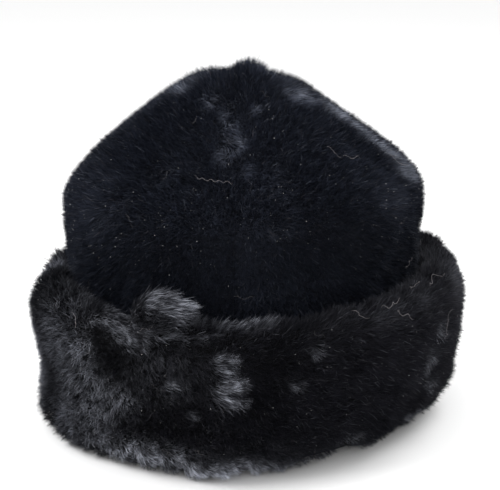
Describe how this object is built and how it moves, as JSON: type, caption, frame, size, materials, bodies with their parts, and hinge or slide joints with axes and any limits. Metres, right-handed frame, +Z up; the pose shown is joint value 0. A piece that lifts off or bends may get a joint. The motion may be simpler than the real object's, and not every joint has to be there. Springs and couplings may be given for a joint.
{
  "type": "cossack hat",
  "caption": "Soft black deep-pile cossack hat: a crown of sewn gores that rises to a rounded tip, with a padded cuff turned up round it.",
  "frame": {"origin": "centre of the hat's overall box, at the height of the surface it rests on", "axes": "+X towards the wearer's left, -Y towards the front, +Z up out of the surface; the front and the back are told apart by the work only, since the hat is nearly the same both ways"},
  "size_m": [0.2378, 0.2684, 0.208],
  "materials": {
    "crown_pile": "deep soft pile, near black with a cool cast",
    "cuff_pile": "deep brushed pile, near black with grey sheen where it is combed over"
  },
  "bodies": {
    "root": {"crown_gore_front": "crown_pile", "crown_gore_left": "crown_pile", "crown_gore_back": "crown_pile", "crown_gore_right": "crown_pile", "cuff": "cuff_pile"}
  },
  "joints": []
}
